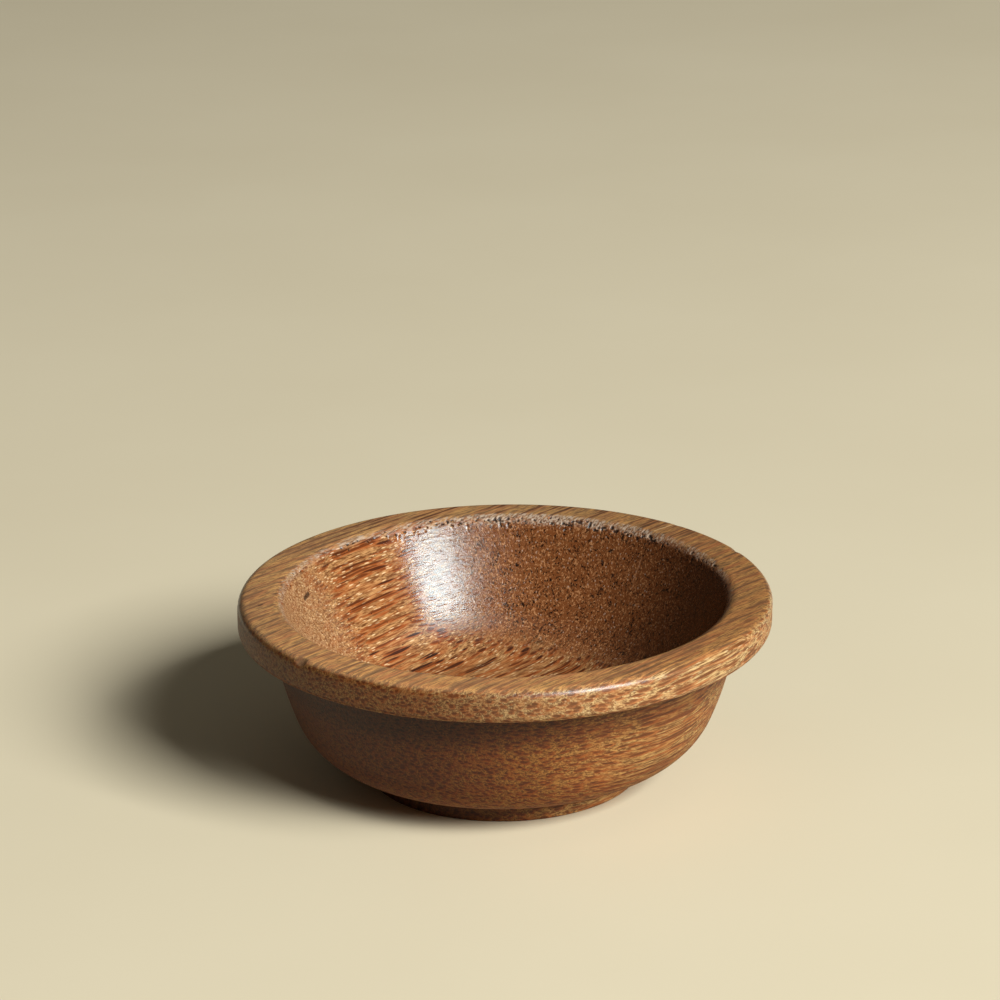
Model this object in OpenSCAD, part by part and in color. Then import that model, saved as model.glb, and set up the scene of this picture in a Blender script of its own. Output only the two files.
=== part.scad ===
// Small footed bowl turned from one block of coconut palm wood.
// Millimetres, +Z up. The origin is the centre of the foot, at the level of the table.
// One turned outline carries the whole form: foot, belly, flank, cove, rim and hollow.

/* [Rim] */
// Diameter over the rim, the widest part of the bowl
rim_d = 105; // [94:0.5:124]
// Width of the rim, from its outer side to the corner of the mouth
rim_w = 8.5; // [6.5:0.1:13]
// Height of the rim's outer band
rim_band = 6.5; // [4:0.1:9]
// How far the rim stands out over the wall below it
rim_overhang = 6.6; // [4:0.1:8.5]
// Radius of the rim's upper outer edge
rim_top_round = 1.8; // [0.4:0.1:2.5]
// Radius of the rim's lower outer edge
rim_low_round = 1.4; // [0.4:0.1:2.5]
// Radius of the worn edge between the rim and the hollow
mouth_round = 2.8; // [0.4:0.1:4]

/* [Body] */
// Height of the bowl
height = 37.4; // [29:0.1:48]
// Lean of the wall, in degrees from upright, where it meets the rim
wall_lean = 7; // [2:0.5:14]
// Radius of the long curve of the flank
flank_r = 68; // [45:1:120]
// Radius of the tighter curve of the belly, below the flank
belly_r = 15; // [9:0.5:20]
// Radius of the hollow curve between the wall and the underside of the rim
cove_r = 3; // [1:0.1:5]

/* [Hollow] */
// Lean of the hollow's side, in degrees from upright, at the mouth
hollow_lean = 22.5; // [15:0.5:30]
// Radius of the long curve of the hollow's side
hollow_side_r = 100; // [60:1:200]
// Radius of the curve between the side and the floor
hollow_corner_r = 12.5; // [6:0.5:18]
// Height of the hollow's level floor over the table
floor_t = 12.5; // [8:0.1:16]

/* [Foot] */
// Diameter of the foot
foot_d = 54.4; // [40:0.2:62]
// Height of the foot
foot_h = 3.7; // [2:0.1:6]
// Rise of the lowest part of the belly over the top edge of the foot
belly_lift = 0.6; // [0.1:0.1:2]
// Radius of the foot's lower edge
foot_round = 0.4; // [0.2:0.1:1.5]
// Width of the ring that the bowl stands on
foot_ring_w = 5; // [3:0.1:9]
// Depth of the shallow recess inside that ring
recess_depth = 1; // [0.4:0.1:2]

/* [Hidden] */
$fn = 144;

wood_colour = [0.60, 0.42, 0.27];

rim_r = rim_d / 2;
mouth_r = rim_r - rim_w;
wall_r = rim_r - rim_overhang;
under_z = height - rim_band;
foot_r = foot_d / 2;
foot_edge = [foot_r, foot_h];

function polar(radius, angle) = radius * [cos(angle), sin(angle)];
function leg(long_side, other_leg) = sqrt(long_side * long_side - other_leg * other_leg);
function towards(from, to, distance) = from + distance * (to - from) / norm(to - from);
function direction(from, to) = atan2(to.y - from.y, to.x - from.x);

// The flank leans by wall_lean at the rim's underside.
flank_top = [wall_r, under_z];
flank_c = flank_top - polar(flank_r, -wall_lean);

// The belly touches the flank from inside, so both curves run on without a corner.
belly_z = foot_h + belly_lift + belly_r;
belly_c = [flank_c.x + leg(flank_r - belly_r, flank_c.y - belly_z), belly_z];
flank_low_angle = direction(flank_c, belly_c);

// A straight run under the bowl leaves the top edge of the foot and touches the belly.
belly_low_angle = direction(belly_c, foot_edge) + acos(belly_r / norm(foot_edge - belly_c));

// The cove touches the flank and the flat underside of the rim, and stops short of the rim's lower edge.
cove = min(cove_r, rim_overhang - rim_low_round);
cove_z = under_z - cove;
cove_c = [flank_c.x + leg(flank_r + cove, cove_z - flank_c.y), cove_z];
cove_low = towards(flank_c, cove_c, flank_r);

// The hollow's side curves down from the mouth, and a tighter curve leads from it to the floor.
mouth_corner = [mouth_r, height];
side_c = mouth_corner - polar(hollow_side_r, -hollow_lean);
corner_z = floor_t + hollow_corner_r;
corner_c = [side_c.x + leg(hollow_side_r - hollow_corner_r, side_c.y - corner_z), corner_z];
side_low_angle = direction(side_c, corner_c);
side_low = side_c + polar(hollow_side_r, side_low_angle);

// The mouth's edge rolls from the top of the rim into the hollow.
lip_z = height - mouth_round;
lip_c = [side_c.x + leg(hollow_side_r + mouth_round, side_c.y - lip_z), lip_z];
lip_low = towards(side_c, lip_c, hollow_side_r);

// Slice of a disc between two angles
module slice(centre, radius, from, to) {
    reach = 2 * radius;
    intersection() {
        translate(centre) circle(radius);
        polygon([centre, centre + polar(reach, from), centre + polar(reach, to)]);
    }
}

// Half section of the foot, a short drum with a rounded lower edge
module foot_section() {
    square([foot_r - foot_round, belly_z]);
    translate([0, foot_round]) square([foot_r, foot_h - foot_round]);
    translate([foot_r - foot_round, foot_round]) circle(foot_round);
}

// Half section of the solid body between the foot and the rim
module body_section() {
    belly_low = belly_c + polar(belly_r, belly_low_angle);
    flank_low = flank_c + polar(flank_r, flank_low_angle);
    polygon([[0, foot_h], foot_edge, belly_low, flank_low, flank_top, [0, under_z]]);
    slice(belly_c, belly_r, belly_low_angle, flank_low_angle);
    intersection() {
        slice(flank_c, flank_r, flank_low_angle, -wall_lean);
        square([rim_r, under_z]);
    }
}

// Half section of the cove that fills the corner under the rim
module cove_section() {
    root_r = wall_r - 2 * cove;
    difference() {
        polygon([cove_low, [cove_c.x, under_z], [root_r, under_z], [root_r, cove_low.y]]);
        translate(cove_c) circle(cove);
    }
}

// Half section of the rim, a flat band with two rounded outer edges
module rim_section() {
    band_low = under_z + rim_low_round;
    band_high = height - rim_top_round;
    translate([0, under_z]) square([rim_r - rim_low_round, rim_low_round]);
    translate([0, band_low]) square([rim_r, band_high - band_low]);
    translate([0, band_high]) square([rim_r - rim_top_round, rim_top_round]);
    translate([rim_r - rim_low_round, band_low]) circle(rim_low_round);
    translate([rim_r - rim_top_round, band_high]) circle(rim_top_round);
}

// Half section of what the turner takes out of the block: the hollow and the corner of the mouth
module hollow_section() {
    above = height + mouth_round;
    polygon([[0, floor_t], [corner_c.x, floor_t], side_low, mouth_corner, [mouth_r, above], [0, above]]);
    slice(corner_c, hollow_corner_r, -90, side_low_angle);
    intersection() {
        slice(side_c, hollow_side_r, side_low_angle, -hollow_lean);
        square([rim_r, above]);
    }
    difference() {
        polygon([lip_low, [lip_c.x, height], [lip_c.x, above], [lip_low.x, above]]);
        translate(lip_c) circle(mouth_round);
    }
}

// Half section of the recess under the foot, with a sloping wall
module recess_section() {
    recess_r = foot_r - foot_ring_w;
    polygon([[0, -recess_depth], [recess_r + recess_depth, -recess_depth],
        [recess_r - recess_depth, recess_depth], [0, recess_depth]]);
}

module bowl() {
    color(wood_colour)
        rotate_extrude()
            difference() {
                union() {
                    foot_section();
                    body_section();
                    cove_section();
                    rim_section();
                }
                hollow_section();
                recess_section();
            }
}

bowl();
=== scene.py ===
# %% [markdown]
# # A small turned bowl of coconut palm wood
#
# This lesson dresses one turned wooden bowl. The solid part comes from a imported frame, and
# everything here sits in that frame, in metres, with +Z up. We build a fine mesh over the
# solid's own outline, wear it where hands and spoons wear it, grow palm wood through it as one
# solid block, and then light and photograph it.

# %% Load the frame
import math
from itertools import accumulate

import bpy
import numpy as np
from mathutils import Matrix, Vector


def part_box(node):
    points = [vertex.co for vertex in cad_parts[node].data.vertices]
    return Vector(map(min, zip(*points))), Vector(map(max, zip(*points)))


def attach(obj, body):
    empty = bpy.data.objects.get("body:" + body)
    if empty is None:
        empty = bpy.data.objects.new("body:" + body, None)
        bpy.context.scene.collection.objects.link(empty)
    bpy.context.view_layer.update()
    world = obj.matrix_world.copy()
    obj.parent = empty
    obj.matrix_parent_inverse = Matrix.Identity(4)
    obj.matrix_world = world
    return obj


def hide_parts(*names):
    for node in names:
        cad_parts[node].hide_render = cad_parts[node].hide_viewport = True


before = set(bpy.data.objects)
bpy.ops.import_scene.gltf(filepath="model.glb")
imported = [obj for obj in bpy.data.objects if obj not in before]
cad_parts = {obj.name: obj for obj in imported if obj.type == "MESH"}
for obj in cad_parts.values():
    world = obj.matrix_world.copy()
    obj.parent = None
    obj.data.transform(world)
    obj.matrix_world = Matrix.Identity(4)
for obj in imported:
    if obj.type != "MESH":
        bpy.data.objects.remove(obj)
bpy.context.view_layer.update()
MM = 0.001

_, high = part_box("bowl")
rim_r = high.x
height = high.z
print(f"bowl: {2 * rim_r / MM:.1f} mm across, {height / MM:.1f} mm high")

# %% [markdown]
# ## The outline
#
# A turned bowl is one outline swept round an axis. The turner cuts arcs that run into each
# other, so we write the outline as arcs and lines too, from the centre under the foot, up the
# outside, over the rim and down into the hollow. Two ways were open: read the outline off the
# solid's triangles, or work it out again from a few sizes. The second keeps the curves exact
# at any fineness, so we take it. Rim radius and height come from the frame.

# %% Sizes of the turned form
rim_w = 8.5 * MM
rim_band = 6.5 * MM
rim_overhang = 6.6 * MM
rim_top_round = 1.8 * MM
rim_low_round = 1.4 * MM
mouth_round = 2.8 * MM
wall_lean = 7.0
flank_r = 68 * MM
belly_r = 15 * MM
cove_r = 3 * MM
hollow_lean = 22.5
hollow_side_r = 100 * MM
hollow_corner_r = 12.5 * MM
floor_t = 12.5 * MM
foot_r = 27.2 * MM
foot_h = 3.7 * MM
belly_lift = 0.6 * MM
foot_round = 0.4 * MM
foot_ring_w = 5 * MM
recess_depth = 1 * MM
print(f"rim: {rim_w / MM:.1f} mm wide, {rim_overhang / MM:.1f} mm over the wall")


# %% Helpers for arcs
def polar(radius, degrees):
    return radius * np.array([math.cos(math.radians(degrees)), math.sin(math.radians(degrees))])


def direction(start, end):
    return math.degrees(math.atan2(end[1] - start[1], end[0] - start[0]))


def leg(long_side, other_leg):
    """The second short side of a right-angled triangle."""
    return math.sqrt(long_side**2 - other_leg**2)


# %% Centres of the arcs
under_z = height - rim_band
flank_top = np.array([rim_r - rim_overhang, under_z])
flank_c = flank_top - polar(flank_r, -wall_lean)

belly_z = foot_h + belly_lift + belly_r
belly_c = np.array([flank_c[0] + leg(flank_r - belly_r, flank_c[1] - belly_z), belly_z])
foot_edge = np.array([foot_r, foot_h])
flank_low_deg = direction(flank_c, belly_c)
belly_reach = np.linalg.norm(foot_edge - belly_c)
belly_low_deg = direction(belly_c, foot_edge) + math.degrees(math.acos(belly_r / belly_reach))

cove_z = under_z - cove_r
cove_c = np.array([flank_c[0] + leg(flank_r + cove_r, cove_z - flank_c[1]), cove_z])
flank_high_deg = direction(flank_c, cove_c)

side_c = np.array([rim_r - rim_w, height]) - polar(hollow_side_r, -hollow_lean)
corner_z = floor_t + hollow_corner_r
corner_x = side_c[0] + leg(hollow_side_r - hollow_corner_r, side_c[1] - corner_z)
corner_c = np.array([corner_x, corner_z])
side_low_deg = direction(side_c, corner_c)

lip_z = height - mouth_round
lip_c = np.array([side_c[0] + leg(hollow_side_r + mouth_round, side_c[1] - lip_z), lip_z])
side_high_deg = direction(side_c, lip_c)
print(f"hollow: {(height - floor_t) / MM:.1f} mm deep, level floor {2 * corner_x / MM:.1f} mm across")


# %% Points along the outline
def line(start, end, steps):
    start, end = np.array(start), np.array(end)
    return [start + (end - start) * i / steps for i in range(1, steps + 1)]


def arc(centre, radius, start_deg, end_deg, steps):
    turns = np.linspace(start_deg, end_deg, steps + 1)[1:]
    return [centre + polar(radius, d) for d in turns]


WORN_DEG = 3.5
recess_r = foot_r - foot_ring_w
band_low = under_z + rim_low_round
band_high = height - rim_top_round
worn_deg = side_high_deg - WORN_DEG
outline = [
    ("recess", line((0, recess_depth), (recess_r - recess_depth, recess_depth), 7)),
    ("recess", line((recess_r - recess_depth, recess_depth), (recess_r, 0), 3)),
    ("foot", line((recess_r, 0), (foot_r - foot_round, 0), 4)),
    ("foot", arc((foot_r - foot_round, foot_round), foot_round, -90, 0, 5)),
    ("foot", line((foot_r, foot_round), foot_edge, 4)),
    ("body", line(foot_edge, belly_c + polar(belly_r, belly_low_deg), 4)),
    ("body", arc(belly_c, belly_r, belly_low_deg, flank_low_deg, 14)),
    ("body", arc(flank_c, flank_r, flank_low_deg, flank_high_deg, 13)),
    ("body", arc(cove_c, cove_r, flank_high_deg + 180, 90, 8)),
    ("band", line((cove_c[0], under_z), (rim_r - rim_low_round, under_z), 3)),
    ("band", arc((rim_r - rim_low_round, band_low), rim_low_round, -90, 0, 8)),
    ("band", line((rim_r, band_low), (rim_r, band_high), 7)),
    ("edge", arc((rim_r - rim_top_round, band_high), rim_top_round, 0, 90, 8)),
    ("rim", line((rim_r - rim_top_round, height), (lip_c[0], height), 8)),
    ("lip", arc(lip_c, mouth_round, 90, side_high_deg + 180, 20)),
    ("worn", arc(side_c, hollow_side_r, side_high_deg, worn_deg, 10)),
    ("hollow", arc(side_c, hollow_side_r, worn_deg, side_low_deg, 14)),
    ("hollow", arc(corner_c, hollow_corner_r, side_low_deg, -90, 16)),
    ("hollow", line((corner_x, floor_t), (0, floor_t), 12)),
]
zone = np.array([name for name, points in outline for _ in points])
rz = np.array([point for _, points in outline for point in points])
print(f"outline: {len(rz)} rings")

# %% [markdown]
# ## The mesh
#
# Sweeping the outline gives rings of vertices. The rim, the lip and the first stretch of the
# hollow carry the wear, so those rings have four times as many vertices as the rest, and one
# row of seven-sided faces joins the two densities on each side. A modifier could sweep and
# subdivide for us, but it would spend as many faces on the smooth belly as on the worn lip.
# Every ring keeps its outline normal, so that wear can push it into the wood.

# %% Rings of vertices
COARSE, FINE = 320, 1280
FINE_ZONES = ("edge", "rim", "lip", "worn")
counts = [FINE if name in FINE_ZONES else COARSE for name in zone]

tangent = np.gradient(rz, axis=0)
tangent /= np.linalg.norm(tangent, axis=1, keepdims=True)
outward = np.stack([tangent[:, 1], -tangent[:, 0]], axis=1)
along = np.concatenate([[0], np.cumsum(np.linalg.norm(np.diff(rz, axis=0), axis=1))])
lip_along = along[zone == "lip"].mean()
edge_along = along[zone == "edge"].mean()
print(f"rings: {counts.count(FINE)} fine, {counts.count(COARSE)} coarse")

# %% [markdown]
# ## Wear as geometry
#
# On the real bowl the lip is where fibre ends have torn out: where the fibres meet the edge
# end on, small pits sit side by side. The outer edge of the rim has a few nicks. A bump in the
# material would leave the contour smooth, so all of these are dents in the mesh, each a
# soft-edged push along the normal. The same numbers are kept on the mesh as attributes, so
# that the wood knows where it is bare.


# %% Dents
class Dent:
    """A soft-edged hollow at an angle round the bowl and a distance along its outline."""

    def __init__(self, degrees, place, width, length, depth):
        self.degrees = degrees
        self.place = place
        self.width = width
        self.length = length
        self.depth = depth

    def push(self, theta, radius, place):
        turn = (theta - math.radians(self.degrees) + math.pi) % (2 * math.pi) - math.pi
        across = turn * radius / self.width
        down = (place - self.place) / self.length
        return self.depth * np.exp(-((across**2 + down**2) ** 2))


def round_bowl(table):
    """A value that changes round the bowl, from a table of degrees and values."""
    turns = np.array(list(table))
    values = np.array(list(table.values()))
    return lambda degrees: np.interp(degrees, turns, values, period=360)


# %% Pits along the lip
PIT_TRIES = 1300
PIT_SHARE = round_bowl({0: 0.10, 40: 0.35, 55: 1.0, 92: 0.9, 108: 0.4, 135: 0.18, 180: 0.05, 300: 0.02})
PIT_BELOW_LIP, PIT_SPREAD = 0.9 * MM, 0.65 * MM
PIT_WIDTH_MM = (0.14, 0.32)
PIT_STRETCH = (0.7, 1.3)
PIT_DEPTH_MM = (0.08, 0.30)
rng = np.random.default_rng(7)


def lip_pits():
    """Torn-out fibre ends along the lip, most of them where the fibres meet it end on."""
    pits = []
    for degrees in rng.uniform(0, 360, PIT_TRIES):
        if rng.random() > PIT_SHARE(degrees):
            continue
        place = lip_along + rng.normal(PIT_BELOW_LIP, PIT_SPREAD)
        width = rng.uniform(*PIT_WIDTH_MM) * MM
        length = width * rng.uniform(*PIT_STRETCH)
        pits.append(Dent(degrees, place, width, length, rng.uniform(*PIT_DEPTH_MM) * MM))
    return pits


pits = lip_pits()
print(f"wear: {len(pits)} pits on the lip")

# %% Nicks on the rim's outer edge
NICKS = [  # degrees round the bowl, then width, length and depth in millimetres
    (46, 0.8, 0.6, 0.22),
    (25, 1.4, 0.9, 0.40),
    (222, 1.3, 1.1, 0.42),
]
nicks = [Dent(turn, edge_along, wide * MM, long * MM, deep * MM) for turn, wide, long, deep in NICKS]
print(f"wear: {len(nicks)} nicks on the rim")

# %% How far the pale worn lip reaches
LIP_STRENGTH = round_bowl(
    {0: 0.45, 30: 0.7, 60: 0.95, 100: 1.0, 125: 0.75, 160: 0.7, 190: 0.5, 225: 0.25, 300: 0.2, 335: 0.3}
)
LIP_REACH_MM = round_bowl({0: 0.7, 40: 1.3, 80: 1.6, 110: 1.4, 140: 0.8, 180: 0.6, 230: 0.5, 300: 0.5})


def worn_lip(theta, place):
    degrees = np.degrees(theta)
    off = (place - lip_along) / (LIP_REACH_MM(degrees) * MM)
    return LIP_STRENGTH(degrees) * np.exp(-(off**4))


print(f"lip: worn up to {LIP_REACH_MM(80):.1f} mm each way from its middle")

# %% In the hollow, and the painted shadow under the rim
RIM_SHADOW_LOW, RIM_SHADOW_HIGH = 20.5 * MM, 25 * MM


def ease(share):
    """A soft start and end for a share that runs from 0 to 1."""
    share = min(max(share, 0), 1)
    return share * share * (3 - 2 * share)


def in_hollow(i):
    """0 outside and on the rim, 1 in the hollow, with a soft step over the lip."""
    if zone[i] != "lip":
        return float(zone[i] in ("worn", "hollow"))
    steps = np.flatnonzero(zone == "lip")
    return ease((i - steps[0]) / (len(steps) - 1))


def rim_shadow_share(i):
    """1 on the wall under the rim, where the rim's shadow is painted, 0 lower down and everywhere else."""
    if zone[i] != "body":
        return 0.0
    return ease((rz[i, 1] - RIM_SHADOW_LOW) / (RIM_SHADOW_HIGH - RIM_SHADOW_LOW))


print(f"shelter: full above {RIM_SHADOW_HIGH / MM:.0f} mm, none below {RIM_SHADOW_LOW / MM:.1f} mm")

# %% [markdown]
# ## Vertices, faces and attributes
#
# The bowl isn't quite true: everything below the rim's edge stands a little to the left of it.
# Bending the finished mesh would move the rim too, so each ring under the edge takes its own
# small share of that lean as it is made.

# %% Vertices
PIT_DEEPEST = PIT_DEPTH_MM[1] * MM
LEAN = -0.015
LEANING = ("recess", "foot", "body", "band")


def worn_ring(i):
    """The points of one ring with its dents pressed in, and what the wood reads there."""
    count, radius = counts[i], rz[i, 0]
    theta = np.arange(count) * 2 * math.pi / count
    pit = nick = np.zeros(count)
    if count == FINE:
        pit = np.minimum(sum(d.push(theta, radius, along[i]) for d in pits), PIT_DEEPEST)
        nick = sum(d.push(theta, radius, along[i]) for d in nicks)
    r = radius - outward[i, 0] * (pit + nick)
    z = rz[i, 1] - outward[i, 1] * (pit + nick)
    x = r * np.cos(theta) + (LEAN * (height - z) if zone[i] in LEANING else 0)
    wear = {
        "pit": pit / PIT_DEEPEST,
        "nick": nick / PIT_DEEPEST,
        "lip": worn_lip(theta, along[i]),
        "inside": np.full(count, in_hollow(i)),
        # painted shadow of the rim on the wall under it
        "painted_rim_shadow": np.full(count, rim_shadow_share(i)),
    }
    return np.stack([x, r * np.sin(theta), z], axis=1), wear


rings = [worn_ring(i) for i in range(len(counts) - 1)]
poles = np.array([[LEAN * (height - recess_depth), 0, recess_depth], [0, 0, floor_t]])
verts = np.concatenate([points for points, _ in rings] + [poles])
ring_start = list(accumulate(counts[:-1], initial=0))
pole_low, pole_floor = ring_start[-1], ring_start[-1] + 1
print(f"mesh: {len(verts)} vertices")


# %% Faces
def ring(i):
    return [ring_start[i] + j for j in range(counts[i])]


def join(lower, upper):
    """Faces between two rings, whose counts are equal or differ by a whole factor."""
    a, b = ring(lower), ring(upper)
    n = min(len(a), len(b))
    step_a, step_b = len(a) // n, len(b) // n
    made = []
    for j in range(n):
        low_side = [a[(j * step_a + k) % len(a)] for k in range(step_a + 1)]
        high_side = [b[(j * step_b + k) % len(b)] for k in range(step_b + 1)]
        made.append(tuple(low_side + high_side[::-1]))
    return made


faces = []
for i in range(len(rings) - 1):
    faces += join(i, i + 1)
first, last = ring(0), ring(len(rings) - 1)
faces += [(pole_low, first[(j + 1) % COARSE], first[j]) for j in range(COARSE)]
faces += [(last[j], last[(j + 1) % COARSE], pole_floor) for j in range(COARSE)]
print(f"mesh: {len(faces)} faces")

# %% The mesh and its attributes
SHARP_DEG = 38
POLE_WEAR = {"inside": [0, 1]}


def put(name, data):
    """Put an object with this mesh, lamp or camera into the scene."""
    made = bpy.data.objects.new(name, data)
    bpy.context.scene.collection.objects.link(made)
    return made


mesh = bpy.data.meshes.new("turned_bowl")
mesh.from_pydata(verts.tolist(), [], faces)
mesh.validate()
mesh.shade_smooth()
mesh.set_sharp_from_angle(angle=math.radians(SHARP_DEG))
for name in rings[0][1]:
    at_poles = POLE_WEAR.get(name, [0, 0])
    values = np.concatenate([wear[name] for _, wear in rings] + [at_poles]).astype(np.float32)
    mesh.attributes.new(name, "FLOAT", "POINT").data.foreach_set("value", values)

bowl = put("turned_bowl", mesh)
print(f"{bowl.name}: {', '.join(rings[0][1])} kept as attributes")

# %% [markdown]
# ## Node helpers
#
# A material is a small graph. These helpers keep the graph readable: one adds a node and sets
# its plain values, and the others make the few steps that come back all the time.


# %% Helpers for nodes and numbers
def feed(tree, socket, value):
    """Link a socket, or set a plain value on it."""
    if isinstance(value, bpy.types.NodeSocket):
        tree.links.new(value, socket)
    else:
        socket.default_value = value


def add(tree, kind, values=None, **settings):
    """A new node with its settings made and its inputs fed."""
    made = tree.nodes.new(kind)
    for key, value in settings.items():
        setattr(made, key, value)
    for key, value in (values or {}).items():
        feed(tree, made.inputs[key], value)
    return made


def number(tree, operation, *parts):
    return add(tree, "ShaderNodeMath", dict(enumerate(parts)), operation=operation).outputs[0]


def times(tree, first, *others):
    """The product of two or more values."""
    for other in others:
        first = number(tree, "MULTIPLY", first, other)
    return first


def more(tree, base, part, share):
    """A value with a share of another one added to it."""
    return number(tree, "MULTIPLY_ADD", part, share, base)


def step(tree, value, start, end, low_end=0.0, high_end=1.0):
    """A soft step: low_end before start, high_end after end."""
    ends = {"From Min": start, "From Max": end, "To Min": low_end, "To Max": high_end}
    made = add(tree, "ShaderNodeMapRange", {"Value": value, **ends}, interpolation_type="SMOOTHSTEP")
    return made.outputs["Result"]


# %% Helpers for vectors, colours and noise
def vector(tree, operation, *parts):
    made = add(tree, "ShaderNodeVectorMath", dict(enumerate(parts)), operation=operation)
    return made.outputs["Value" if operation in ("DOT_PRODUCT", "LENGTH") else "Vector"]


def scaled(tree, source, amount):
    made = add(tree, "ShaderNodeVectorMath", {0: source, "Scale": amount}, operation="SCALE")
    return made.outputs["Vector"]


def xyz(tree, source):
    return add(tree, "ShaderNodeSeparateXYZ", {0: source}).outputs


def mix_colour(tree, factor, first, second, blend="MIX"):
    values = {0: factor, 6: first, 7: second}
    return add(tree, "ShaderNodeMix", values, data_type="RGBA", blend_type=blend).outputs[2]


def noise(tree, place, scale, detail=2.0, roughness=0.5):
    values = {"Vector": place, "Scale": scale, "Detail": detail, "Roughness": roughness}
    return add(tree, "ShaderNodeTexNoise", values).outputs


def srgb(red, green, blue):
    """A colour written as on a screen, 0 to 255, turned into the linear light that shaders use."""
    parts = [c / 255 for c in (red, green, blue)]
    return [c / 12.92 if c <= 0.04045 else ((c + 0.055) / 1.055) ** 2.4 for c in parts] + [1.0]


# %% Helpers for groups and materials
SOCKETS = {"v": "NodeSocketVector", "f": "NodeSocketFloat"}


def new_group(name, takes, gives):
    """An empty node group; takes and gives map socket names to v for vector or f for number."""
    tree = bpy.data.node_groups.new(name, "ShaderNodeTree")
    for sockets, in_out in ((takes, "INPUT"), (gives, "OUTPUT")):
        for socket, kind in sockets.items():
            tree.interface.new_socket(socket, in_out=in_out, socket_type=SOCKETS[kind])
    return tree, add(tree, "NodeGroupInput").outputs, add(tree, "NodeGroupOutput").inputs


def use_group(tree, group, **values):
    return add(tree, "ShaderNodeGroup", values, node_tree=group).outputs


def new_material(name):
    """A material, its node tree and the inputs of its shader."""
    material = bpy.data.materials.new(name)
    material.use_nodes = True
    tree = material.node_tree
    return material, tree, tree.nodes["Principled BSDF"].inputs


# %% [markdown]
# ## Palm wood as one solid block
#
# A palm has no year rings. Its wood is a pale ground full of dark fibre bundles, all running
# up the trunk. Cut along them and they are streaks, cut across them and they are dots. A
# picture wrapped round the bowl could never join the two, so the pattern is a solid one: it
# lives in space, and the surface just cuts through it. The first group turns a point of the
# bowl into a place among the fibres, in millimetres: X runs along them, and slow noise bends
# them a little, because a palm never grows quite straight.

# %% A group: where a point lies among the fibres
FIBRE_DEG = 46.5
FIBRE_TILT_DEG = 2.0
FIBRE_BENDS = (  # stretch along the fibres, noise per millimetre, share of the wander
    (0.3, 0.07, 1.0),
    (0.45, 0.3, 0.16),
    (0.12, 1.4, 0.06),
)


def fibre_space_group():
    tree, takes, gives = new_group("fibre_space", {"Vector": "v", "Wander": "f"}, {"Vector": "v"})
    in_mm = scaled(tree, takes["Vector"], 1 / MM)
    turned = add(
        tree,
        "ShaderNodeVectorRotate",
        {"Vector": in_mm, "Rotation": (0, math.radians(FIBRE_TILT_DEG), -math.radians(FIBRE_DEG))},
        rotation_type="EULER_XYZ",
    ).outputs["Vector"]
    bent = turned
    for stretch, scale, share in FIBRE_BENDS:
        drift = noise(tree, vector(tree, "MULTIPLY", turned, (stretch, 1, 1)), scale, 1.0)["Color"]
        offset = scaled(tree, vector(tree, "SUBTRACT", drift, (0.5, 0.5, 0.5)), takes["Wander"])
        bent = vector(tree, "ADD", bent, scaled(tree, offset, share))
    feed(tree, gives["Vector"], bent)
    return tree


fibre_space = fibre_space_group()
print(f"{fibre_space.name}: {len(fibre_space.nodes)} nodes")

# %% [markdown]
# A bundle is a long thread with a round section. Cells in the plane across the fibres give
# each bundle its own middle, its own shade and its own chance of being there at all. Along its
# length it swells and thins, so streaks start and stop. Curves laid through the wood would do
# the same, but there would be thousands of them.

# %% A group: bundles of fibres
BUNDLE_FLATTEN = 0.66
SWELL_PER_MM = 0.11
SWELL_APART = 60.0
SWELL = {"From Min": 0.3, "From Max": 0.7, "To Min": 0.45, "To Max": 1.4}
HALO_REACH = 1.9


def bundles_group():
    takes = {"Vector": "v", "Spacing": "f", "Width": "f", "Softness": "f", "Share": "f"}
    tree, takes, gives = new_group("fibre_bundles", takes, {"Core": "f", "Halo": "f", "Shade": "f"})
    along, level, upright = xyz(tree, takes["Vector"])
    flat = times(tree, level, BUNDLE_FLATTEN)
    across = add(tree, "ShaderNodeCombineXYZ", {0: flat, 1: upright}).outputs[0]
    frequency = number(tree, "DIVIDE", 1.0, takes["Spacing"])
    spread = {"Vector": across, "Scale": frequency}
    cells = add(tree, "ShaderNodeTexVoronoi", spread, voronoi_dimensions="2D").outputs
    chance = add(tree, "ShaderNodeSeparateColor", {0: cells["Color"]}).outputs

    run = more(tree, times(tree, chance["Red"], SWELL_APART), along, SWELL_PER_MM)
    swell = add(tree, "ShaderNodeTexNoise", {"W": run, "Scale": 1.0, "Detail": 1.0}, noise_dimensions="1D")
    vary = add(tree, "ShaderNodeMapRange", {"Value": swell.outputs["Fac"], **SWELL}).outputs["Result"]
    size = times(tree, vary, takes["Width"])

    inner = number(tree, "SUBTRACT", size, takes["Softness"])
    outer = number(tree, "ADD", size, takes["Softness"])
    core = step(tree, cells["Distance"], inner, outer, 1.0, 0.0)
    halo = step(tree, cells["Distance"], size, times(tree, size, HALO_REACH), 1.0, 0.0)
    there = number(tree, "LESS_THAN", chance["Blue"], takes["Share"])
    feed(tree, gives["Core"], times(tree, core, there))
    feed(tree, gives["Halo"], times(tree, halo, there))
    feed(tree, gives["Shade"], chance["Green"])
    return tree


bundles = bundles_group()
print(f"{bundles.name}: {len(bundles.nodes)} nodes")


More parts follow.
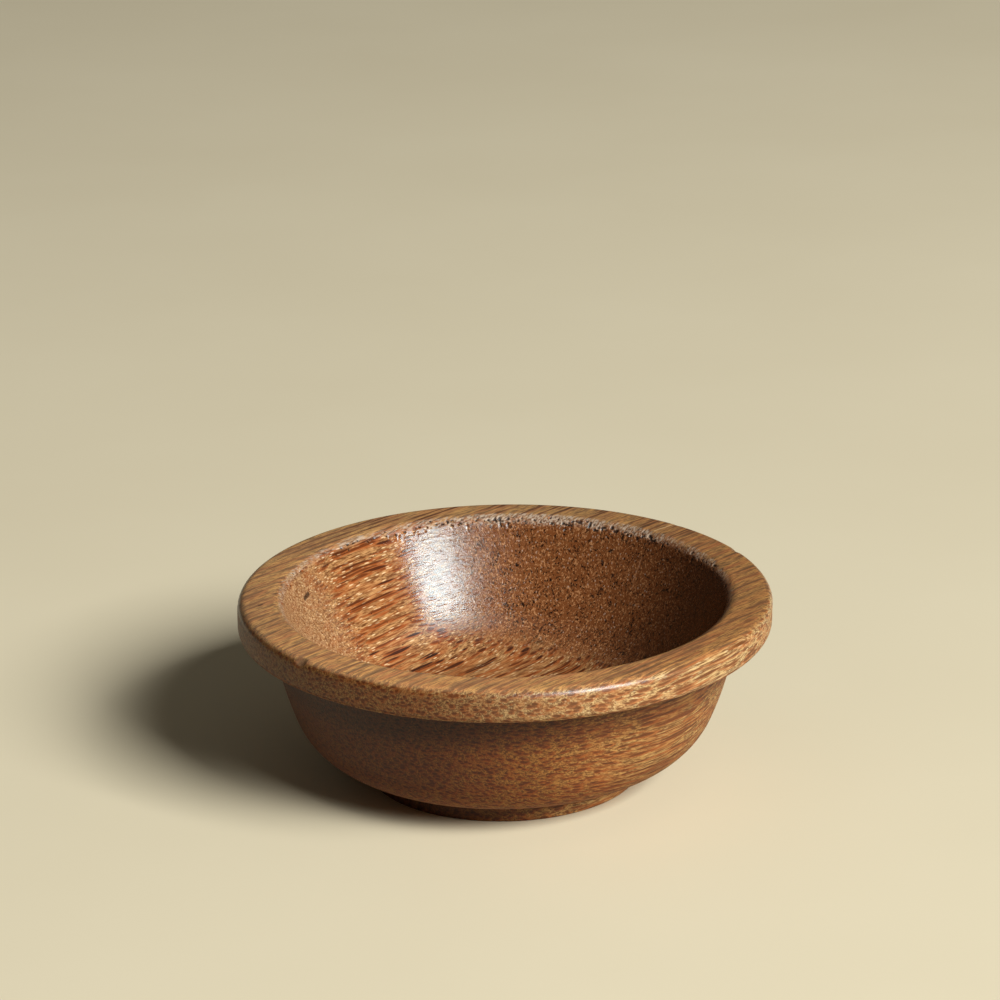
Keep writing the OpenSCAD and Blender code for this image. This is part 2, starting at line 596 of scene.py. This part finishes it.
# %% A group: loose flecks in the wood
def flecks_group():
    takes = {"Vector": "v", "Spacing": "f", "Length": "f", "Width": "f", "Share": "f"}
    tree, takes, gives = new_group("flecks", takes, {"Mask": "f"})
    cell = add(tree, "ShaderNodeCombineXYZ", {0: takes["Length"], 1: takes["Spacing"], 2: takes["Spacing"]})
    place = vector(tree, "DIVIDE", takes["Vector"], cell.outputs[0])
    cells = add(tree, "ShaderNodeTexVoronoi", {"Vector": place, "Scale": 1.0}).outputs
    chance = add(tree, "ShaderNodeSeparateColor", {0: cells["Color"]}).outputs
    there = number(tree, "LESS_THAN", chance["Blue"], takes["Share"])
    blob = step(tree, cells["Distance"], times(tree, takes["Width"], 0.5), takes["Width"], 1.0, 0.0)
    feed(tree, gives["Mask"], times(tree, blob, there))
    return tree


flecks = flecks_group()
print(f"{flecks.name}: {len(flecks.nodes)} nodes")

# %% [markdown]
# The real bowl isn't the same all round. Fibre ends look different on the two sides that meet
# them, and some sides get painted shade where the lamp leaves them dark, and others a painted
# sheen where it lights them. This could be painted by hand on the mesh. A mask that only asks
# which way the surface faces is shorter, and it follows the form.

# %% A group: which way a surface faces
FACINGS = {  # level direction in degrees, and the cosines at which the mask starts and is full
    # outside's left: darker cut fibre ends, and painted shade on the side turned from the lamp
    "Grain And Painted Shade Outside": (-150, 0.0, 0.85),
    "Brown Inside": (-140, -0.05, 0.75),
    # painted shade on the hollow's right wall, where the rim shades it
    "Painted Shade Inside": (180, 0.45, 1.0),
    "Calm": (-115, 0.42, 0.7),
    "Grainy": (-135, 0.28, 0.66),
    "Netted": (FIBRE_DEG, 0.08, 0.56),
    # painted sheen on the outside's side toward the lamp
    "Painted Sheen Outside": (-25, 0.45, 1.0),
}


def facings_group():
    tree, takes, gives = new_group("facings", {"Normal": "v"}, dict.fromkeys(FACINGS, "f"))
    for socket, (degrees, start, end) in FACINGS.items():
        turned_to = vector(tree, "DOT_PRODUCT", takes["Normal"], (*polar(1, degrees), 0))
        feed(tree, gives[socket], step(tree, turned_to, start, end))
    return tree


facings = facings_group()
print(f"{facings.name}: {len(FACINGS)} masks")

# %% [markdown]
# A few dark spots and fine scratches can be told apart on the real bowl. Each is a short stroke
# between two points of the surface. One small group draws them all, so no picture is needed.

# %% A group: one short mark between two points
STROKE_CORE = 0.35


def stroke_group():
    takes = {"Vector": "v", "From": "v", "To": "v", "Width": "f"}
    tree, takes, gives = new_group("stroke", takes, {"Mask": "f"})
    reach = vector(tree, "SUBTRACT", takes["To"], takes["From"])
    away = vector(tree, "SUBTRACT", takes["Vector"], takes["From"])
    square = vector(tree, "DOT_PRODUCT", reach, reach)
    share = number(tree, "DIVIDE", vector(tree, "DOT_PRODUCT", away, reach), square)
    share = add(tree, "ShaderNodeClamp", {"Value": share}).outputs["Result"]
    gap = vector(tree, "LENGTH", vector(tree, "SUBTRACT", away, scaled(tree, reach, share)))
    core = times(tree, takes["Width"], STROKE_CORE)
    feed(tree, gives["Mask"], step(tree, gap, core, takes["Width"], 1, 0))
    return tree


stroke = stroke_group()
print(f"{stroke.name}: {len(stroke.nodes)} nodes")


# %% Marks of use
def on_hollow(degrees, z_mm):
    """A point on the hollow's side, in metres."""
    r = side_c[0] + leg(hollow_side_r, side_c[1] - z_mm * MM)
    return (*polar(r, degrees), z_mm * MM)


def on_rim(degrees, r_mm):
    """A point on the rim's flat top, in metres."""
    return (*polar(r_mm * MM, degrees), height)


DARK_SPOT = srgb(34, 20, 14)
RIM_SPOT = srgb(70, 50, 38)
PALE_LINE = srgb(206, 170, 124)
BROWN_LINE = srgb(150, 106, 74)
marks = [  # two ends, width in millimetres, colour, strength
    (on_hollow(160.9, 32.2), on_hollow(164.2, 32.0), 0.62, DARK_SPOT, 0.85),
    (on_rim(187, 47.7), on_rim(187.6, 48.3), 0.34, RIM_SPOT, 0.8),
    (on_rim(47.4, 45.6), on_rim(46.8, 51.8), 0.28, PALE_LINE, 0.55),
    (on_hollow(47.8, 32.6), on_hollow(48.3, 27.9), 0.26, BROWN_LINE, 0.45),
    (on_hollow(59.9, 29.9), on_hollow(60.3, 30.2), 0.36, DARK_SPOT, 0.85),
    (on_hollow(55.6, 27.9), on_hollow(56.0, 28.2), 0.34, DARK_SPOT, 0.85),
    (on_hollow(58.1, 25.2), on_hollow(58.5, 25.3), 0.42, DARK_SPOT, 0.85),
    (on_hollow(60.4, 23.5), on_hollow(60.9, 23.7), 0.32, DARK_SPOT, 0.8),
]
print(f"marks: {len(marks)}")

# %% [markdown]
# ## The wood of this bowl
#
# Now the groups come together in one material. We lay the wood down layer by layer: the pale
# ground, the dark bundles, the cut fibre ends, the tones of each side, the rim's top, the bare
# lip, and last the polish and the relief. Every cell takes the colour so far and lays one layer
# over it. Sizes in the wood are in millimetres, because the fibre space is.

# %% Start the wood
FIBRE_WANDER = 3.0
wood_material, wood, shader = new_material("coconut_wood")
where = add(wood, "ShaderNodeTexCoord").outputs
place = where["Object"]
right, back, up = xyz(wood, place)
level = xyz(wood, where["Normal"])["Z"]
fibres = use_group(wood, fibre_space, Vector=place, Wander=FIBRE_WANDER)["Vector"]
facing = use_group(wood, facings, Normal=where["Normal"])
lip, pit, nick, inside, painted_rim_shadow = (
    add(wood, "ShaderNodeAttribute", attribute_name=name).outputs["Fac"]
    for name in ("lip", "pit", "nick", "inside", "painted_rim_shadow")
)
polished = number(wood, "SUBTRACT", 1.0, inside)


def outside_inside(outside, hollow):
    """A value that changes softly over the lip, from the outside to the hollow."""
    return step(wood, inside, 0, 1, outside, hollow)


def hollow_side(name):
    """The part of the hollow that faces one way."""
    return times(wood, facing[name], inside)


print(f"{wood_material.name}: fibre wander {FIBRE_WANDER} mm")

# %% [markdown]
# Between the bundles the wood is a soft brown, finely combed along the fibres. Two noises that
# are drawn out along them do the combing, one hair-thin and one coarser, and a wide third one
# lays rusty clouds over them. Outside, the layers are a little weaker than in the hollow.

# %% The ground
GROUND_DARK = srgb(100, 60, 30)
GROUND_PALE = srgb(184, 138, 88)
GROUND_RUST = srgb(160, 88, 40)
WOVEN_CUT = (0.40, 0.60)
CLOUD_CUT, CLOUD_STRENGTH = (0.42, 0.68), 0.5
clear = outside_inside(0.9, 1.0)


def threads(squeeze, scale, detail, roughness=0.5):
    """Noise drawn out along the fibres: the smaller the squeeze, the longer its threads."""
    drawn_out = vector(wood, "MULTIPLY", fibres, (squeeze, 1, 1))
    return noise(wood, drawn_out, scale, detail, roughness)["Fac"]


def tint(colour, mask, strength, second):
    """Lay a second colour over the first, a little weaker outside."""
    return mix_colour(wood, times(wood, mask, strength, clear), colour, second)


fibril = threads(squeeze=0.09, scale=2.6, detail=3.0, roughness=0.6)
hair = threads(squeeze=0.07, scale=6.0, detail=2.0, roughness=0.6)
cloud = threads(squeeze=0.2, scale=0.5, detail=2.0)
woven = more(wood, times(wood, fibril, 0.5), hair, 0.5)
colour = mix_colour(wood, step(wood, woven, *WOVEN_CUT), GROUND_DARK, GROUND_PALE)
colour = tint(colour, step(wood, cloud, *CLOUD_CUT), CLOUD_STRENGTH, GROUND_RUST)
print(f"ground: {len(wood.nodes)} nodes so far")

# %% [markdown]
# The bundles are what makes this wood. Each large one has a nearly black core, and a red-brown
# glow lies beside it. Small bundles and short pale flecks fill the space between; in the hollow
# the pale flecks are stronger, as painted glints. On the walls that cut the fibres across, the
# large ones give way to the grains and the net that follow.

# %% Dark bundles, their glow and pale flecks
LARGE = {"Spacing": 0.84, "Width": 0.26, "Share": 0.96}
SMALL = {"Spacing": 0.55, "Width": 0.28, "Softness": 0.16, "Share": 0.6}
PALE_FLECKS = {"Spacing": 0.42, "Length": 2.6, "Width": 0.36, "Share": 0.5}
GLOW_BESIDE = (0, 0.16, 0.12)
GLOW, GLOW_STRENGTH = srgb(150, 76, 32), 0.75
SMALL_CORE = srgb(104, 56, 28)
PALE_FIBRE_AND_GLINT = srgb(234, 202, 154)
CORE_OUTSIDE, CORE_HOLLOW, CORE_LIGHTEST = srgb(84, 44, 18), srgb(38, 15, 11), srgb(108, 55, 24)
CORE_STRENGTH = 0.96
STREAKS_ON_CALM, STREAKS_ON_NET = 0.3, 0.2

soft = outside_inside(0.12, 0.09)
beside = vector(wood, "ADD", fibres, GLOW_BESIDE)
glow = use_group(wood, bundles, Vector=beside, Softness=soft, **LARGE)
dark = use_group(wood, bundles, Vector=fibres, Softness=soft, **LARGE)
fine = use_group(wood, bundles, Vector=fibres, **SMALL)
pale = use_group(wood, flecks, Vector=fibres, **PALE_FLECKS)["Mask"]
calm = step(wood, hollow_side("Calm"), 0, 1, 1.0, STREAKS_ON_CALM)
netted = hollow_side("Netted")
streaky = times(wood, calm, step(wood, netted, 0, 0.6, 1.0, STREAKS_ON_NET))

core = mix_colour(wood, inside, CORE_OUTSIDE, CORE_HOLLOW)
core = mix_colour(wood, dark["Shade"], core, CORE_LIGHTEST)
colour = tint(colour, times(wood, glow["Halo"], streaky), GLOW_STRENGTH, GLOW)
colour = tint(colour, fine["Core"], outside_inside(0.7, 0.5), SMALL_CORE)
# pale fibres, and in the hollow also painted glints
colour = tint(colour, pale, outside_inside(0.2, 0.68), PALE_FIBRE_AND_GLINT)
colour = tint(colour, times(wood, dark["Core"], streaky), CORE_STRENGTH, core)
print(f"bundles: {LARGE['Spacing']} mm and {SMALL['Spacing']} mm apart")

# %% [markdown]
# The hollow's wall at the back right meets the fibres end on. There the wood is a field of dark
# and pale grains, a little taller than wide. Round cells would look like a printed pattern, so
# the grains are rough noise cut at two heights, and a slower noise gathers them into clumps.

# %% Grains where the fibres end
GRAIN_UPRIGHT = (1, 1, 0.65)
GLINT_APART = (40, 0, 0)
GRAIN_DARK = srgb(16, 7, 5)
GRAIN_BROWN = srgb(147, 91, 49)
GRAIN_PALE = srgb(222, 168, 116)
DARK_CUT, DARK_CLUMPS = (0.41, 0.47), 0.2
PALE_CUT, PALE_CLUMPS = (0.55, 0.61), 0.15
GRAIN_STRENGTH = 0.94

upright = vector(wood, "MULTIPLY", fibres, GRAIN_UPRIGHT)
grain = noise(wood, upright, scale=2.1, detail=4.0, roughness=0.75)["Fac"]
glint = noise(wood, vector(wood, "ADD", upright, GLINT_APART), scale=2.6, detail=3.0, roughness=0.75)["Fac"]
clump = number(wood, "SUBTRACT", noise(wood, upright, scale=0.55)["Fac"], 0.5)
darker = more(wood, grain, clump, DARK_CLUMPS)
lighter = more(wood, glint, clump, PALE_CLUMPS)
grains = mix_colour(wood, step(wood, darker, *DARK_CUT), GRAIN_DARK, GRAIN_BROWN)
grains = mix_colour(wood, step(wood, lighter, *PALE_CUT), grains, GRAIN_PALE)
grainy = hollow_side("Grainy")
colour = mix_colour(wood, times(wood, grainy, GRAIN_STRENGTH), colour, grains)
print(f"grains: {len(wood.nodes)} nodes so far")

# %% [markdown]
# The wall opposite is cut across too, but from the other end, and looks like a net of pale
# knots. Pores lie scattered in the whole hollow, and pale flecks among the grains are painted
# glints. All three are flecks of one group, each with its own sizes.

# %% Net, pores and painted glints
NET = {"Spacing": 0.44, "Length": 0.8, "Width": 0.58, "Share": 0.75}
NET_DARK, NET_PALE = srgb(96, 50, 24), srgb(216, 178, 130)
NET_CUT, NET_STRENGTH = (0.42, 0.58), 0.62
PORES = {"Spacing": 1.2, "Length": 1.2, "Width": 0.18, "Share": 0.12}
PORE, PORE_STRENGTH = srgb(40, 22, 14), 0.85
GLINT_FLECKS = {"Spacing": 0.6, "Length": 0.6, "Width": 0.34, "Share": 0.22}
PAINTED_GLINT, GLINT_FLECK_STRENGTH = srgb(222, 196, 174), 0.7

net = use_group(wood, flecks, Vector=fibres, **NET)["Mask"]
ragged_net = more(wood, step(wood, glint, *NET_CUT, 0.0, 0.5), net, 0.5)
knots = mix_colour(wood, ragged_net, NET_DARK, NET_PALE)
colour = mix_colour(wood, times(wood, netted, NET_STRENGTH), colour, knots)
pore = use_group(wood, flecks, Vector=fibres, **PORES)["Mask"]
colour = mix_colour(wood, times(wood, pore, inside, PORE_STRENGTH), colour, PORE)
glint_flecks = use_group(wood, flecks, Vector=upright, **GLINT_FLECKS)["Mask"]
# painted glints among the grains
colour = mix_colour(wood, times(wood, glint_flecks, grainy, GLINT_FLECK_STRENGTH), colour, PAINTED_GLINT)
print(f"flecks: net {NET['Spacing']} mm, pores {PORES['Spacing']} mm, dust {GLINT_FLECKS['Spacing']} mm apart")

# %% [markdown]
# Each side gets its own tone. The outside is yellower than the hollow. The outside's left is
# darker, partly from the cut fibre ends and partly as painted shade on the side turned from the
# lamp. Its right and the rim's band are paler, a painted sheen where the lamp falls. The hollow
# is browner at the back right, and its right wall carries painted shade where the rim shades
# it. The wall under the rim carries a painted shadow of the rim. Mixing in a flat colour would
# wash the fibres out, so every tone multiplies what is there. A tone above 1 makes the wood
# paler and keeps its pattern.

# %% Tones of the sides
BAND_FADE = (under_z - 1.5 * MM, under_z + 2 * MM)
TOP_FACING = (0.6, 0.95)
DARK_STRENGTH, DARK_LESS_ON_BAND = 0.88, -0.2
SHEEN_STRENGTH = 0.55
BAND_SHEEN_FADE, BAND_SHEEN_ON_LEFT = (0.6, 1.0), 0.5


def multiply(colour, tones):
    """Multiply a colour by one tone after the other, each where its mask says."""
    for mask, tone in tones:
        colour = mix_colour(wood, mask, colour, tone, "MULTIPLY")
    return colour


band = times(wood, step(wood, up, *BAND_FADE), polished)
body = number(wood, "SUBTRACT", polished, band)
top = times(wood, step(wood, level, *TOP_FACING), polished)
band_side = number(wood, "SUBTRACT", band, top)
# the band's painted sheen is half as strong on the shaded left
band_sheen_share = step(wood, facing["Grain And Painted Shade Outside"], *BAND_SHEEN_FADE, 1.0, BAND_SHEEN_ON_LEFT)
dark_side = more(wood, polished, band, DARK_LESS_ON_BAND)
side_tones = [
    (polished, srgb(226, 207, 157)),
    # outside's left: darker cut fibre ends, and painted shade on the side turned from the lamp
    (times(wood, facing["Grain And Painted Shade Outside"], dark_side, DARK_STRENGTH), srgb(138, 104, 60)),
    (hollow_side("Brown Inside"), srgb(186, 176, 168)),
    # painted shade on the hollow's right wall, where the rim shades it
    (hollow_side("Painted Shade Inside"), srgb(190, 178, 170)),
    # painted shadow of the rim, darkening the wall under it
    (painted_rim_shadow, srgb(204, 190, 170)),
    # painted sheen on the outside's side toward the lamp
    (times(wood, facing["Painted Sheen Outside"], body, SHEEN_STRENGTH), (1.5, 2.15, 3.8, 1.0)),
    # painted sheen on the rim's band
    (times(wood, band_side, band_sheen_share), (1.55, 2.35, 4.9, 1.0)),
]
colour = multiply(colour, side_tones)
print(f"tones: {len(side_tones)} on the sides")

# %% [markdown]
# The rim's flat top lies along the fibres everywhere, so it shows the wood as a plank would:
# fine dark threads all over, and long streaks that stand out most at the back. It is lighter
# than the rest, partly as a painted sheen on the upward-facing top, and lighter in front and to
# the left than to the right; the paler front is a painted sheen toward the lamp. A colour that
# is added lifts the dark parts most, and the tones then set each side apart.

# %% The rim's top
TOP_LIFT_AND_SHEEN = srgb(86, 82, 62)
THREAD_CUT, THREAD_STRENGTH = (0.36, 0.52), 0.4
STREAKS_FADE, STREAKS_STRENGTH = (20 * MM, 45 * MM), (0.12, 0.6)
FRONT_SHEEN_FADE = (-48 * MM, -8 * MM)
LEFT_FADE = (-50 * MM, 30 * MM)
RIGHT_FADE = (0, 50 * MM)

streaks = step(wood, back, *STREAKS_FADE, *STREAKS_STRENGTH)
# lift the rim's top: its own lighter wood, and a painted sheen on the upward-facing surface
colour = mix_colour(wood, top, colour, TOP_LIFT_AND_SHEEN, "ADD")
top_tones = [
    (times(wood, top, step(wood, hair, *THREAD_CUT, THREAD_STRENGTH, 0.0)), srgb(140, 110, 84)),
    (times(wood, top, dark["Core"], streaks), srgb(150, 104, 66)),
    # painted sheen on the front of the rim's top, toward the lamp
    (times(wood, top, step(wood, back, *FRONT_SHEEN_FADE, 1.0, 0.0)), (1.32, 1.27, 1.23, 1.0)),
    (times(wood, top, step(wood, right, *LEFT_FADE, 1.0, 0.0)), (1.25, 1.25, 1.25, 1.0)),
    (times(wood, top, step(wood, right, *RIGHT_FADE)), (0.94, 0.84, 0.72, 1.0)),
]
colour = multiply(colour, top_tones)
print(f"tones: {len(top_tones)} on the rim's top")

# %% [markdown]
# Use has taken the finish off the lip. Pale, frayed fibres show there in ragged patches,
# with dark pits between them. The mesh says where the lip is worn and where a pit was pushed
# in, and noise along the fibres frays the border between worn and whole. The pits and the
# nicks on the rim's edge are darkened with painted shade.

# %% The worn lip, nicks, pits and marks
FRAYED_DARK, FRAYED_PALE = srgb(82, 62, 46), srgb(180, 160, 138)
NICK_SHADE, NICK_SHADE_STRENGTH = srgb(112, 84, 62), 0.45
FRAYED_CUT, FRAY = (0.36, 0.6), 2.4
PATCH_CUT, PATCH_LEAST = (0.36, 0.6), 0.55
TORN_CUT, TORN_STRENGTH = (0.3, 1.2), 0.85
LIP_FADE = (0.02, 0.3)
PIT_SHADE_CUT, PIT_SHADE_STRENGTH = (0.2, 0.7), 0.9

thread = threads(squeeze=0.2, scale=2.8, detail=2.0, roughness=0.6)
patch = noise(wood, fibres, scale=0.28, detail=1.0)["Fac"]
bare = times(wood, lip, step(wood, patch, *PATCH_CUT, PATCH_LEAST, 1.0))
ragged = more(wood, bare, number(wood, "SUBTRACT", thread, 0.5), FRAY)
torn = times(wood, step(wood, ragged, *TORN_CUT, 0.0, TORN_STRENGTH), step(wood, lip, *LIP_FADE))
frayed = mix_colour(wood, step(wood, thread, *FRAYED_CUT), FRAYED_DARK, FRAYED_PALE)
colour = mix_colour(wood, torn, colour, frayed)
# painted shade in the nicks
colour = mix_colour(wood, times(wood, nick, NICK_SHADE_STRENGTH), colour, NICK_SHADE)
# painted shade in the pits
colour = mix_colour(wood, step(wood, pit, *PIT_SHADE_CUT, 0.0, PIT_SHADE_STRENGTH), colour, DARK_SPOT)
for start, end, width, mark_colour, strength in marks:
    mask = use_group(wood, stroke, Vector=place, From=start, To=end, Width=width * MM)["Mask"]
    colour = mix_colour(wood, times(wood, mask, strength), colour, mark_colour)
feed(wood, shader["Base Color"], colour)
print(f"colour: {len(wood.nodes)} nodes so far")

# %% [markdown]
# The hollow's wall is polished enough to throw back a window as one bright patch, and its floor
# is duller. The outside is satin, the worn lip and the undersides are dull, and the rim's outer
# edge shines from being handled. Roughness carries all of this, and a thin coat helps the edge.

# %% Polish
ROUGH_OUTSIDE, ROUGH_HOLLOW, ROUGH_UNDERSIDE = 0.46, 0.12, 0.35
LOW_WALL = (17.5 * MM, 20.5 * MM)
EDGE_FROM, EDGE_TO = (0.1, 0.5), (0.9, 0.99)
UNDERSIDE_FACING = (-0.6, -0.1)
COAT = 0.3
EVEN_FINISH = {
    "Coat Roughness": 0.25,
    "Specular IOR Level": 0.33,
    "Specular Tint": (0.7, 0.93, 1.0, 1.0),
}

hollow_low = times(wood, step(wood, up, *LOW_WALL, 1.0, 0.0), inside)
edge = times(wood, step(wood, level, *EDGE_FROM), step(wood, level, *EDGE_TO, 1.0, 0.0), polished)
underside = step(wood, level, *UNDERSIDE_FACING, ROUGH_UNDERSIDE, 0.0)
rough = outside_inside(ROUGH_OUTSIDE, ROUGH_HOLLOW)
for part, share in ((fibril, 0.1), (lip, 0.3), (hollow_low, 0.2), (edge, -0.2), (underside, 1.0)):
    rough = more(wood, rough, part, share)
feed(wood, shader["Roughness"], rough)
feed(wood, shader["Coat Weight"], times(wood, edge, COAT))
for socket, value in EVEN_FINISH.items():
    feed(wood, shader[socket], value)
print(f"polish: {len(EVEN_FINISH)} values the same all over")

# %% [markdown]
# Under the polish the fibres stand up a little, the dark bundles lie lower, and the turner's
# tool has left faint rings in the hollow. This is far finer than the mesh, so it is a bump, in
# millimetres. In the hollow it is weaker, because rough relief there would smear the highlight.
# A height below zero sinks what it belongs to.

# %% Relief
TOOL_RINGS = (0.12, 0.12, 1.6)
FIBRIL_HIGH, HAIR_HIGH, GRAIN_HIGH, TURNING_HIGH, CORE_HIGH = 0.06, 0.045, 0.07, 0.03, -0.015

relief = more(wood, times(wood, fibril, FIBRIL_HIGH), hair, HAIR_HIGH)
relief = times(wood, relief, outside_inside(1.0, 0.4))
turning = noise(wood, vector(wood, "MULTIPLY", scaled(wood, place, 1 / MM), TOOL_RINGS), scale=1.0)["Fac"]
raised = (
    (grain, times(wood, grainy, GRAIN_HIGH)),
    (turning, times(wood, inside, TURNING_HIGH)),
    (dark["Core"], CORE_HIGH),
)
for part, share in raised:
    relief = more(wood, relief, part, share)
bump = add(wood, "ShaderNodeBump", {"Height": relief, "Distance": MM})
feed(wood, shader["Normal"], bump.outputs["Normal"])
print(f"wood: {len(wood.nodes)} nodes")

# %% Dress the solid
mesh.materials.append(wood_material)
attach(bowl, "root")
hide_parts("bowl")
print(f"{bowl.name}: {wood_material.name} on it")

# %% [markdown]
# ## Floor, light and camera
#
# The bowl stands on a plain pale floor. One soft lamp stands to the right and in front, a
# little lower than half way up the sky. A weak glow from above, which fades towards the
# horizon, fills the shadows. The camera looks down at the bowl through a long lens.

# %% The floor
FLOOR_HALF = 4.0
FLOOR_SHADES = (srgb(216, 205, 174), srgb(224, 214, 184))
FLOOR_FINISH = {"Roughness": 0.7, "Specular IOR Level": 0.2}


def floor_material():
    material, tree, shader = new_material("pale_floor")
    place = add(tree, "ShaderNodeTexCoord").outputs["Object"]
    cloud = noise(tree, place, scale=9.0, detail=4.0)["Fac"]
    feed(tree, shader["Base Color"], mix_colour(tree, cloud, *FLOOR_SHADES))
    for socket, value in FLOOR_FINISH.items():
        feed(tree, shader[socket], value)
    return material


floor_mesh = bpy.data.meshes.new("floor")
corners = [(x * FLOOR_HALF, y * FLOOR_HALF, 0) for x, y in ((-1, -1), (1, -1), (1, 1), (-1, 1))]
floor_mesh.from_pydata(corners, [], [(0, 1, 2, 3)])
floor_mesh.materials.append(floor_material())
floor = put("floor", floor_mesh)
print(f"floor: {2 * FLOOR_HALF:.0f} m square")


# %% Light
def from_bowl(right_deg, up_deg, distance):
    """A place seen from the bowl: degrees to the right of the camera's side, degrees up, metres."""
    turn, rise = math.radians(right_deg), math.radians(up_deg)
    level = distance * math.cos(rise)
    return Vector((level * math.sin(turn), -level * math.cos(turn), distance * math.sin(rise)))


LAMP_RIGHT_DEG, LAMP_UP_DEG, LAMP_DISTANCE = 43.2, 35.4, 2.6
LAMP_WIDTH, LAMP_TALL = 1.15, 0.94
LAMP_POWER = 114
lamp_data = bpy.data.lights.new("window_light", "AREA")
lamp_data.shape = "RECTANGLE"
lamp_data.size = LAMP_WIDTH
lamp_data.size_y = LAMP_TALL
lamp_data.energy = LAMP_POWER
lamp = put("window_light", lamp_data)
lamp.location = from_bowl(LAMP_RIGHT_DEG, LAMP_UP_DEG, LAMP_DISTANCE)
lamp.rotation_euler = lamp.location.to_track_quat("Z", "Y").to_euler()
print(f"lamp: {LAMP_WIDTH} by {LAMP_TALL} m, {LAMP_POWER} W")

# %% Glow from above
SKY_HORIZON, SKY_ABOVE = 0.015, 0.12
SKY_COLOUR = (1.0, 0.93, 0.82, 1)
world = bpy.data.worlds.new("studio")
bpy.context.scene.world = world
world.use_nodes = True
sky = world.node_tree
background = sky.nodes["Background"].inputs
upward = xyz(sky, add(sky, "ShaderNodeTexCoord").outputs["Generated"])["Z"]
feed(sky, background["Strength"], step(sky, upward, 0.0, 1.0, SKY_HORIZON, SKY_ABOVE))
feed(sky, background["Color"], SKY_COLOUR)
print(f"sky: strength {SKY_HORIZON} at the horizon, {SKY_ABOVE} overhead")

# %% Camera
CAMERA_DISTANCE = 0.7282
CAMERA_UP_DEG = 21.561
CAMERA_PITCH_DEG = 19.330
CAMERA_TURN_DEG = -0.060
CAMERA_ROLL_DEG = -0.784
AIM_HEIGHT = 26.25 * MM
LENS_MM = 132.7
SENSOR_MM = 36

camera_data = bpy.data.cameras.new("camera")
camera_data.sensor_width = SENSOR_MM
camera_data.lens = LENS_MM
camera = put("camera", camera_data)
bpy.context.scene.camera = camera
camera.location = from_bowl(0, CAMERA_UP_DEG, CAMERA_DISTANCE) + Vector((0, 0, AIM_HEIGHT))
turn, pitch, roll = (
    Matrix.Rotation(math.radians(degrees), 4, axis)
    for degrees, axis in ((-CAMERA_TURN_DEG, "Z"), (90 - CAMERA_PITCH_DEG, "X"), (CAMERA_ROLL_DEG, "Z"))
)
camera.rotation_euler = (turn @ pitch @ roll).to_euler()

bpy.context.scene.view_settings.view_transform = "Standard"
print(f"camera: {LENS_MM} mm lens, {CAMERA_DISTANCE:.2f} m away")
